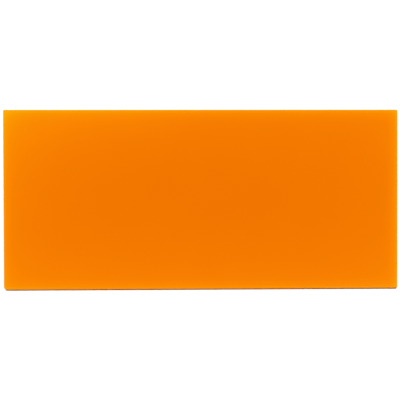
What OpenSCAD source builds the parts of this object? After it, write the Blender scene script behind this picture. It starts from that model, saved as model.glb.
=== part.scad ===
// Flat rectangular plate cut from one sheet of translucent orange plastic.
//
// The plate is a single solid that lies flat. X runs along its length, Y across its width and
// Z up through its thickness. The origin is the middle of the underside.
// Every edge of both faces is eased with a fine chamfer, and the upright corners are rounded.

/* [Plate] */
// Length of the plate, along X
plate_length = 220; // [120:1:320]
// Width of the plate, along Y
plate_width = 100; // [50:1:160]
// Thickness of the sheet, along Z
plate_thickness = 3; // [2:0.5:8]

/* [Edges] */
// Radius of the four upright corners
corner_radius = 0.8; // [0.5:0.1:4]
// Width and height of the chamfer that eases each edge of the two faces
arris_size = 0.4; // [0.1:0.05:0.45]

/* [Hidden] */
$fn = 64;

// Centres of the rounded corners, measured from the middle of the plate
corner_x = plate_length / 2 - corner_radius;
corner_y = plate_width / 2 - corner_radius;

// One eased edge of the plate's section, from the underside up to the top face.
// reach is how far out the edge stands.
function eased_edge(reach) = [
    [reach - arris_size, 0],
    [reach, arris_size],
    [reach, plate_thickness - arris_size],
    [reach - arris_size, plate_thickness],
];

// The same edge on the opposite side, from the top face down to the underside
function opposite_edge(reach) = [
    for (point = [3:-1:0]) [-eased_edge(reach)[point].x, eased_edge(reach)[point].y]
];

// A straight bar with the plate's eased section, centred on the origin and running along Y.
// It reaches the same distance out to both sides along X.
module eased_bar(reach, run) {
    translate([0, run / 2, 0])
        rotate([90, 0, 0])
            linear_extrude(height = run)
                polygon(concat(eased_edge(reach), opposite_edge(reach)));
}

// One upright corner: a short round post with both rims eased
module corner_post() {
    rotate_extrude()
        polygon(concat([[0, 0]], eased_edge(corner_radius), [[0, plate_thickness]]));
}

// The plate: two crossed bars fill its outline, and four posts round its corners
module plate() {
    color("darkorange") {
        eased_bar(reach = plate_length / 2, run = 2 * corner_y);
        rotate([0, 0, 90])
            eased_bar(reach = plate_width / 2, run = 2 * corner_x);
        for (side_x = [-1, 1], side_y = [-1, 1])
            translate([side_x * corner_x, side_y * corner_y, 0])
                corner_post();
    }
}

plate();
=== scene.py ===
"""A rectangular plate of translucent orange plastic on a white studio table, seen from above.

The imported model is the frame. One finished plate stands for its CAD node: it has rounded
arrises, saw marks round its cut edges, a few dents from use and a faintly wavy face.
All lengths are in metres.
"""

import math

import bpy
from mathutils import Euler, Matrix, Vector


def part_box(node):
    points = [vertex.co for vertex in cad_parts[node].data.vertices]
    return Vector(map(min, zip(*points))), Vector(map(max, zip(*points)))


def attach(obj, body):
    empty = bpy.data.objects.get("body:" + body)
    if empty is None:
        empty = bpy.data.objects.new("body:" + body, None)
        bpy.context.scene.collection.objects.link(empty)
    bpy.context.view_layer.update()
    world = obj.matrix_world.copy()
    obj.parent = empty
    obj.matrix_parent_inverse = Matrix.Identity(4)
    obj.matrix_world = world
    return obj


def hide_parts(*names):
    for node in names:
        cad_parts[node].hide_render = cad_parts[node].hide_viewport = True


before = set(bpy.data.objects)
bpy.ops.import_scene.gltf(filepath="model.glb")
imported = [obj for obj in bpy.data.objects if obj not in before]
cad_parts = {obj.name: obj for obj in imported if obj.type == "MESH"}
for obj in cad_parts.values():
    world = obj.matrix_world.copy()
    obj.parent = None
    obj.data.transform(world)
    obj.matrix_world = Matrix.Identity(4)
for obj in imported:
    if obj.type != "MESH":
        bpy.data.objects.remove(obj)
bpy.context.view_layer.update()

MM = 0.001

# The plate, from the frame
LOW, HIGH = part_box("plate")
HALF_LENGTH = (HIGH.x - LOW.x) / 2
HALF_WIDTH = (HIGH.y - LOW.y) / 2
THICKNESS = HIGH.z - LOW.z
MIDDLE = (LOW + HIGH) / 2


# ---------------------------------------------------------------- shape of the plate

ARRIS = 0.4 * MM            # radius that rounds every edge of both faces
ARRIS_STEPS = 5             # facets round one arris
SUPPORT = 0.06 * MM         # width of the flat strip that keeps each face's shading flat
CORNER = 0.8 * MM           # radius of the upright corners
WORN_CORNER = 1.4 * MM      # the front left corner is knocked a little rounder
CORNER_STEPS = 8
OUTLINE_STEP = 0.4 * MM     # spacing of the points along the cut edges
FACE_MARGIN = 2.5 * MM      # from the outline to the face's own grid
FACE_CELL = 2.5 * MM        # size of the face grid's cells
EDGE_ROWS = 4               # rows up the cut edge between its two arrises

SAW_PITCH = 2.3 * MM        # distance between saw marks along a cut edge
SAW_DEPTH = 0.030 * MM
SAW_LEAN = 0.55             # how far a mark leans along the edge for each unit up it
FACE_WAVE = 0.025 * MM      # depth of the slow waves in the cast face
WAVES = [(61, 23, 0.4), (-37, 89, 2.1), (112, 41, 4.0)]     # radians a metre in X and Y, start

# Dents in the top arris: share of the way round the outline, length, depth
DENTS = [
    (0.043, 1.1 * MM, 0.10 * MM),
    (0.171, 0.7 * MM, 0.07 * MM),
    (0.266, 1.6 * MM, 0.12 * MM),
    (0.392, 0.8 * MM, 0.08 * MM),
    (0.455, 1.3 * MM, 0.06 * MM),
    (0.584, 0.9 * MM, 0.11 * MM),
    (0.678, 1.8 * MM, 0.09 * MM),
    (0.807, 0.7 * MM, 0.10 * MM),
    (0.918, 1.2 * MM, 0.08 * MM),
]


def outline():
    """Points round the plate, anticlockwise from the front left: place, outward normal, travel."""
    corners = [
        (-1, -1, WORN_CORNER, 180),
        (1, -1, CORNER, 270),
        (1, 1, CORNER, 0),
        (-1, 1, CORNER, 90),
    ]
    arcs = []
    for side_x, side_y, radius, start in corners:
        centre = Vector((side_x * (HALF_LENGTH - radius), side_y * (HALF_WIDTH - radius)))
        arc = []
        for i in range(CORNER_STEPS + 1):
            angle = math.radians(start + 90 * i / CORNER_STEPS)
            normal = Vector((math.cos(angle), math.sin(angle)))
            arc.append((centre + radius * normal, normal))
        arcs.append(arc)
    points = []
    for arc, following in zip(arcs, arcs[1:] + arcs[:1]):
        points += arc
        (start, normal), (end, _) = arc[-1], following[0]
        steps = round((end - start).length / OUTLINE_STEP)
        points += [(start.lerp(end, i / steps), normal) for i in range(1, steps)]
    travelled = 0.0
    result = []
    for i, (place, normal) in enumerate(points):
        if i:
            travelled += (place - points[i - 1][0]).length
        result.append((place, normal, travelled))
    return result


def edge_profile():
    """Rings from the underside up round the edge to the top face: (inset, height, share of edge).

    The share is 1 on the cut edge and falls to 0 on the faces, where the saw left no mark.
    """
    lower = []
    for i in range(ARRIS_STEPS + 1):
        angle = math.radians(90 * i / ARRIS_STEPS)
        inset, height = ARRIS * (1 - math.sin(angle)), ARRIS * (1 - math.cos(angle))
        lower.append((inset, height, math.sin(angle)))
    lower = [(ARRIS + SUPPORT, 0.0, 0.0)] + lower
    upper = [(inset, THICKNESS - height, share) for inset, height, share in reversed(lower)]
    first, last = ARRIS + SUPPORT, THICKNESS - ARRIS - SUPPORT
    rows = [(0.0, first + (last - first) * i / EDGE_ROWS, 1.0) for i in range(EDGE_ROWS + 1)]
    return lower + rows + upper


def saw_mark(travel, height):
    """Depth of the saw marks at a place on a cut edge: even feed marks, some cut deeper."""
    along = (travel + SAW_LEAN * height) / SAW_PITCH
    feed = 0.5 + 0.5 * math.cos(2 * math.pi * along)
    uneven = 0.6 + 0.25 * math.sin(0.83 * along + 1.0) + 0.15 * math.sin(2.17 * along)
    return SAW_DEPTH * feed * uneven


def dent(travel, around, height):
    """Depth of the dents in the top arris at a place on the edge."""
    near_top = max(0.0, 1 - (THICKNESS - height) / (3 * ARRIS))
    depth = 0.0
    for share, length, most in DENTS:
        away = abs(travel - share * around) / length
        if away < 1:
            depth += most * (0.5 + 0.5 * math.cos(math.pi * away))
    return depth * near_top


def face_wave(x, y):
    """Depth of the slow waves at a place on a face, fading out towards its edges."""
    wave = sum(math.sin(turn_x * x + turn_y * y + start) for turn_x, turn_y, start in WAVES)
    inside = min(HALF_LENGTH - abs(x), HALF_WIDTH - abs(y)) - FACE_MARGIN
    fade = min(1.0, max(0.0, inside / (6 * FACE_CELL)))
    return FACE_WAVE * fade * (0.5 + 0.5 * wave / len(WAVES))


def face_grid(height, inward):
    """One face's own grid: its points, its quads and its rim, anticlockwise from the front left.

    inward is -1 where the waves sink down from the face and 1 where they rise into it.
    """
    span_x, span_y = HALF_LENGTH - FACE_MARGIN, HALF_WIDTH - FACE_MARGIN
    columns, rows = round(2 * span_x / FACE_CELL), round(2 * span_y / FACE_CELL)
    points = []
    for j in range(rows + 1):
        for i in range(columns + 1):
            x, y = span_x * (2 * i / columns - 1), span_y * (2 * j / rows - 1)
            points.append((x, y, height + inward * face_wave(x, y)))
    across = columns + 1
    quads = []
    for j in range(rows):
        for i in range(columns):
            at = j * across + i
            quads.append((at, at + 1, at + across + 1, at + across))
    rim = list(range(columns))
    rim += [j * across + columns for j in range(rows)]
    rim += [rows * across + i for i in range(columns, 0, -1)]
    rim += [j * across for j in range(rows, 0, -1)]
    return points, quads, rim


def nearest(place, points, rim, start):
    """Where on the rim the point nearest to place is, looking on from start."""
    def distance(k):
        x, y, _ = points[rim[k % len(rim)]]
        return (x - place[0]) ** 2 + (y - place[1]) ** 2
    k = start
    while distance(k + 1) < distance(k):
        k += 1
    return k


def join_rim(ring, rim, points):
    """Faces between the outline's ring of points and the coarser rim of a face's grid."""
    faces = []
    here = nearest(points[ring[0]], points, rim, 0)
    for i, first in enumerate(ring):
        second = ring[(i + 1) % len(ring)]
        following = nearest(points[second], points, rim, here)
        a, b = rim[here % len(rim)], rim[following % len(rim)]
        faces.append((first, second, b, a) if a != b else (first, second, a))
        here = following
    return faces


def plate_mesh():
    """The finished plate as one closed mesh. The cut edge has material index 1, the rest 0."""
    around = outline()
    profile = edge_profile()
    length = around[-1][2]
    points = []
    for inset, height, share in profile:
        for place, normal, travel in around:
            cut = saw_mark(travel, height) * share + dent(travel, length, height)
            spot = place - normal * (inset + cut)
            points.append((spot.x, spot.y, height))
    count = len(around)
    faces = []
    for ring in range(len(profile) - 1):
        for i in range(count):
            k = (i + 1) % count
            low, high = ring * count, (ring + 1) * count
            faces.append((low + i, low + k, high + k, high + i))
    first_cut = (ARRIS_STEPS + 1) * count           # after the lower arris and its support
    last_cut = first_cut + (EDGE_ROWS + 2) * count  # the rows, and a support next to each arris
    for ring, height, inward in ((0, 0.0, 1), (len(profile) - 1, THICKNESS, -1)):
        grid_points, quads, rim = face_grid(height, inward)
        first = len(points)
        points += grid_points
        made = [tuple(first + v for v in quad) for quad in quads]
        edge_ring = list(range(ring * count, (ring + 1) * count))
        made += join_rim(edge_ring, [first + v for v in rim], points)
        faces += made if inward < 0 else [face[::-1] for face in made]
    offset = Vector((MIDDLE.x, MIDDLE.y, LOW.z))
    mesh = bpy.data.meshes.new("orange_plate")
    mesh.from_pydata([Vector(p) + offset for p in points], [], faces)
    mesh.validate()
    for polygon in mesh.polygons:
        polygon.use_smooth = True
        polygon.material_index = 1 if first_cut <= polygon.index < last_cut else 0
    mesh.update()
    return mesh


# ---------------------------------------------------------------- materials

# The plastic's colour, made lighter and yellower by painted glow where more light from the edges would
# reach it: share of that painted light, colour
PLASTIC_AND_PAINTED_GLOW_RAMP = [
    (0.00, (0.805, 0.160, 0.0002, 1)),
    (0.25, (0.900, 0.215, 0.0003, 1)),
    (1.00, (0.908, 0.370, 0.0010, 1)),
]
# How far in the painted glow reaches: a yellow rim right at the edges and a wider haze
RIM_REACH = 2.0 * MM                # how far in the yellow rim goes
HAZE_REACH = 25.0 * MM              # how far in the haze goes

# How strongly the painted glow shows at each cut edge, and at the back left corner, nearest the lamp
RIM_SHARES = {"left": 0.45, "right": 0.60, "front": 0.40, "back": 0.56}
HAZE_SHARES = {"left": 0.10, "right": 0.08, "front": 0.20, "back": 0.16}
CORNER_SHARE = 0.40

# The brightest stretch of painted glow along the back edge
GLOW_X = -55.0 * MM                 # its middle
GLOW_LENGTH = 40.0 * MM             # how far it spreads to each side
GLOW_REACH = 10.0 * MM              # how far in it goes
GLOW_SHARE = 0.15

# The faces' other detail. A scale is about how many features there are to a metre.
PLASTIC_IOR = 1.49
CLOUD_COLOUR = (0.720, 0.125, 0.0004, 1)
CLOUD_SCALE = 45
CLOUD_STRENGTH = 0.05
SMUDGE_SCALE = 28
FACE_ROUGHNESS = (0.15, 0.20)       # between the smudges, and in them
HAIRLINE_TURNS = (24, -51)          # degrees
HAIRLINE_SCALE = 2400
HAIRLINE_STRETCH = 0.008            # long and fine
HAIRLINE_ROUGHNESS = 0.06           # added in a scratch
RIPPLE_SCALE = 160
RIPPLE_DEPTH = 0.02 * MM
RIPPLE_STRENGTH = 0.15

# The sawn edges
EDGE_COLOUR = (0.800, 0.235, 0.006, 1)
EDGE_PALE = (0.860, 0.330, 0.020, 1)    # where the blade left it whiter
EDGE_DEEP = (0.740, 0.170, 0.003, 1)
EDGE_ROUGHNESS = (0.42, 0.58)
EDGE_SHINE = 0.2                        # a sawn surface mirrors less than a face, which has 0.5
EDGE_GLOW = (0.950, 0.240, 0.000, 1)    # light that the plastic carries to its cut edges
EDGE_GLOW_STRENGTH = 0.50
STREAK_SCALE = 1100                     # fine streaks that the blade left
STREAK_STRETCH = 0.07
STREAK_DEPTH = 0.03 * MM
STREAK_STRENGTH = 0.4
BAND_SCALE = 120                        # broad darker bands behind them
BAND_STRETCH = 0.1

# Each cut edge: its axis, its side and its distance from the middle
EDGES = {
    "left": ("X", -1, HALF_LENGTH),
    "right": ("X", 1, HALF_LENGTH),
    "front": ("Y", -1, HALF_WIDTH),
    "back": ("Y", 1, HALF_WIDTH),
}


class Nodes:
    """Short calls for making and joining a material's nodes."""

    def __init__(self, tree):
        self.tree = tree
        self.shader = tree.nodes.get("Principled BSDF")

    def add(self, kind, inputs=None, **settings):
        made = self.tree.nodes.new("ShaderNode" + kind)
        for name, value in settings.items():
            setattr(made, name, value)
        for name, value in (inputs or {}).items():
            self.put(made.inputs[name], value)
        return made

    def put(self, socket, value):
        """Sets a socket, or joins it to another node's output."""
        if isinstance(value, bpy.types.NodeSocket):
            self.tree.links.new(value, socket)
        else:
            socket.default_value = value

    def maths(self, operation, a, b=0.0, c=0.0):
        return self.add("Math", {0: a, 1: b, 2: c}, operation=operation).outputs[0]

    def mix(self, factor, a, b):
        made = self.add("Mix", data_type="RGBA")
        self.put(made.inputs["Factor"], factor)
        self.put(made.inputs[6], a)
        self.put(made.inputs[7], b)
        return made.outputs[2]

    def ramp(self, value, stops):
        """A colour that runs through the stops, each a place from 0 to 1 and a colour."""
        made = self.add("ValToRGB", {0: value})
        elements = made.color_ramp.elements
        for _ in stops[2:]:
            elements.new(0.5)
        for element, (position, colour) in zip(elements, stops):
            element.position = position
            element.color = colour
        return made.outputs[0]

    def noise(self, place, scale, stretch=(1, 1, 1), detail=2.0):
        """Noise with about scale features a metre. A stretch below 1 draws them out along its axis."""
        drawn = self.add("Mapping", {"Vector": place, "Scale": stretch}).outputs[0]
        return self.add("TexNoise", {"Vector": drawn, "Scale": scale, "Detail": detail}).outputs[0]

    def spread(self, value, low, high, to_low, to_high, blend="LINEAR"):
        """The value, where low becomes to_low and high becomes to_high."""
        source = {"Value": value, "From Min": low, "From Max": high}
        target = {"To Min": to_low, "To Max": to_high}
        return self.add("MapRange", source | target, interpolation_type=blend).outputs[0]

    def bump(self, height, strength, depth):
        """Bends the shader's normal, as if its surface rose and sank by the depth."""
        made = self.add("Bump", {"Height": height, "Strength": strength, "Distance": depth})
        self.put(self.shader.inputs["Normal"], made.outputs[0])


def new_material(name):
    """A new material and its nodes."""
    material = bpy.data.materials.new(name)
    material.use_nodes = True
    return material, Nodes(material.node_tree)


def painted_edge_glow(nodes, place):
    """Painted light for the base colour: light that has come in through the four cut edges, fading
    with the distance from each.
    """
    apart = nodes.add("SeparateXYZ", {0: place})

    def fade(edge, reach):
        axis, side, half = EDGES[edge]
        depth = nodes.maths("MULTIPLY_ADD", apart.outputs[axis], side / reach, -half / reach)
        return nodes.maths("EXPONENT", depth)

    haze = {edge: fade(edge, HAZE_REACH) for edge in EDGES}
    # painted light at the back left corner, nearest the lamp
    corner = nodes.maths("MULTIPLY", haze["left"], haze["back"])
    total = nodes.maths("MULTIPLY", corner, CORNER_SHARE)
    for edge in EDGES:
        total = nodes.maths("MULTIPLY_ADD", haze[edge], HAZE_SHARES[edge], total)
        total = nodes.maths("MULTIPLY_ADD", fade(edge, RIM_REACH), RIM_SHARES[edge], total)

    # a painted patch of light along the back edge
    along = nodes.maths("MULTIPLY_ADD", apart.outputs["X"], 1 / GLOW_LENGTH, -GLOW_X / GLOW_LENGTH)
    glow = nodes.maths("EXPONENT", nodes.maths("MULTIPLY", nodes.maths("POWER", along, 2.0), -1.0))
    glow = nodes.maths("MULTIPLY", glow, fade("back", GLOW_REACH))
    return nodes.maths("MULTIPLY_ADD", glow, GLOW_SHARE, total)


def hairlines(nodes, place):
    """Sparse fine scratches from handling, in two directions: 1 in a scratch, 0 between them."""
    total = None
    for turn in HAIRLINE_TURNS:
        rotation = (0, 0, math.radians(turn))
        turned = nodes.add("Mapping", {"Vector": place, "Rotation": rotation}).outputs[0]
        line = nodes.noise(turned, HAIRLINE_SCALE, (HAIRLINE_STRETCH, 1, 1), detail=0.0)
        line = nodes.spread(line, 0.68, 0.76, 0.0, 1.0)
        total = line if total is None else nodes.maths("MAXIMUM", total, line)
    return total


def face_material():
    """The two polished faces and the arrises: deep orange, with painted glow that makes them yellower
    towards the edges.
    """
    material, nodes = new_material("orange_plastic_face")
    place = nodes.add("TexCoord").outputs["Object"]
    # the plastic's orange with painted glow: lighter and yellower near the cut edges
    plastic_and_painted_glow = nodes.ramp(painted_edge_glow(nodes, place), PLASTIC_AND_PAINTED_GLOW_RAMP)
    cloud = nodes.noise(place, CLOUD_SCALE, detail=3.0)
    cloud = nodes.spread(cloud, 0.3, 0.7, 0.0, CLOUD_STRENGTH)
    nodes.put(nodes.shader.inputs["Base Color"], nodes.mix(cloud, plastic_and_painted_glow, CLOUD_COLOUR))

    smudge = nodes.noise(place, SMUDGE_SCALE, detail=3.0)
    smudge = nodes.spread(smudge, 0.35, 0.7, *FACE_ROUGHNESS)
    scratch = nodes.spread(hairlines(nodes, place), 0.0, 1.0, 0.0, HAIRLINE_ROUGHNESS)
    nodes.put(nodes.shader.inputs["Roughness"], nodes.maths("ADD", smudge, scratch))

    nodes.bump(nodes.noise(place, RIPPLE_SCALE, detail=1.0), RIPPLE_STRENGTH, RIPPLE_DEPTH)
    nodes.put(nodes.shader.inputs["IOR"], PLASTIC_IOR)
    return material


def edge_material():
    """The cut edges: dull, streaked up and down by the blade, and lit from within.

    A little emission stands for the light that the plastic takes in through its faces.
    """
    material, nodes = new_material("orange_plastic_cut_edge")
    place = nodes.add("TexCoord").outputs["Object"]
    streak = nodes.noise(place, STREAK_SCALE, (1, 1, STREAK_STRETCH), detail=3.0)
    band = nodes.noise(place, BAND_SCALE, (1, 1, BAND_STRETCH))
    colour = nodes.mix(nodes.spread(streak, 0.35, 0.7, 0.0, 0.35), EDGE_COLOUR, EDGE_PALE)
    colour = nodes.mix(nodes.spread(band, 0.3, 0.7, 0.0, 0.4), colour, EDGE_DEEP)
    nodes.put(nodes.shader.inputs["Base Color"], colour)
    nodes.put(nodes.shader.inputs["Roughness"], nodes.spread(streak, 0.3, 0.7, *EDGE_ROUGHNESS))
    nodes.bump(streak, STREAK_STRENGTH, STREAK_DEPTH)
    nodes.put(nodes.shader.inputs["Specular IOR Level"], EDGE_SHINE)
    nodes.put(nodes.shader.inputs["Emission Color"], EDGE_GLOW)
    nodes.put(nodes.shader.inputs["Emission Strength"], EDGE_GLOW_STRENGTH)
    nodes.put(nodes.shader.inputs["IOR"], PLASTIC_IOR)
    return material


def plate():
    """The finished plate, in place of its CAD node."""
    made = bpy.data.objects.new("orange_plate", plate_mesh())
    bpy.context.scene.collection.objects.link(made)
    made.data.materials.append(face_material())
    made.data.materials.append(edge_material())
    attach(made, "root")
    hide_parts("plate")
    return made


# ---------------------------------------------------------------- studio

FLOOR_SIZE = 40.0
FLOOR_GAP = 0.02 * MM       # keeps its surface clear of the plate's underside
FLOOR_WHITE = 0.94
FLOOR_ROUGHNESS = 0.9
KEY_LEAN = (-3.0, 18.0)     # degrees off the vertical, to the right and to the back
KEY_SPREAD = 4.0            # degrees that the lamp takes up, seen from the plate
KEY_POWER = 3.55            # watts a square metre
WALL_WHITE = 1.02
WALL_TOP = 0.15             # height in the sky, as a sine, at which the white walls start to fade
CEILING = 0.25              # height at which they are dark


def floor():
    """The white table that the plate lies on."""
    place = (MIDDLE.x, MIDDLE.y, LOW.z - FLOOR_GAP)
    bpy.ops.mesh.primitive_plane_add(size=FLOOR_SIZE, location=place)
    made = bpy.context.object
    made.name = "floor"
    material, nodes = new_material("white_table")
    nodes.put(nodes.shader.inputs["Base Color"], (FLOOR_WHITE, FLOOR_WHITE, FLOOR_WHITE, 1))
    nodes.put(nodes.shader.inputs["Roughness"], FLOOR_ROUGHNESS)
    nodes.put(nodes.shader.inputs["Specular IOR Level"], 0.0)
    made.data.materials.append(material)


def key_light():
    """A far lamp high up at the back, a little to the left, so the front edge is in shade."""
    right, back = (math.tan(math.radians(angle)) for angle in KEY_LEAN)
    direction = Vector((right, back, 1)).normalized()
    data = bpy.data.lights.new("key", "SUN")
    data.energy = KEY_POWER
    data.angle = math.radians(KEY_SPREAD)
    made = bpy.data.objects.new("key", data)
    made.location = MIDDLE + direction
    made.rotation_euler = direction.to_track_quat("Z", "Y").to_euler()
    made.visible_glossy = False
    bpy.context.scene.collection.objects.link(made)


def sky():
    """White walls all round the table, under a dark ceiling that leaves no glare on the plate."""
    world = bpy.data.worlds.new("studio")
    bpy.context.scene.world = world
    world.use_nodes = True
    nodes = Nodes(world.node_tree)
    background = world.node_tree.nodes["Background"]
    apart = nodes.add("SeparateXYZ", {0: nodes.add("TexCoord").outputs["Generated"]})
    walls = nodes.spread(apart.outputs["Z"], WALL_TOP, CEILING, WALL_WHITE, 0.0, "SMOOTHSTEP")
    nodes.put(background.inputs["Color"], (1, 1, 1, 1))
    nodes.put(background.inputs["Strength"], walls)


LENS = 85.0
SENSOR = 36.0
FRAMING = 1.0142                        # the picture's width, in lengths of the plate
CAMERA_TURN = (-0.80, -1.45, -0.14)     # degrees: it stands a little to the back left
AIM = Vector((-0.83 * MM, -0.35 * MM))  # the point it looks at, from the plate's middle


def camera():
    """Almost straight above the plate, with the plate's back edge at the top of the picture."""
    data = bpy.data.cameras.new("camera")
    data.lens = LENS
    data.sensor_width = SENSOR
    made = bpy.data.objects.new("camera", data)
    made.rotation_euler = Euler([math.radians(angle) for angle in CAMERA_TURN])
    away = made.rotation_euler.to_matrix() @ Vector((0, 0, 1))
    aim = Vector((MIDDLE.x + AIM.x, MIDDLE.y + AIM.y, HIGH.z))
    made.location = aim + away * FRAMING * 2 * HALF_LENGTH * LENS / SENSOR
    bpy.context.scene.collection.objects.link(made)
    bpy.context.scene.camera = made


camera()
plate()
floor()
key_light()
sky()
bpy.context.scene.view_settings.view_transform = "Standard"

bpy.context.view_layer.update()
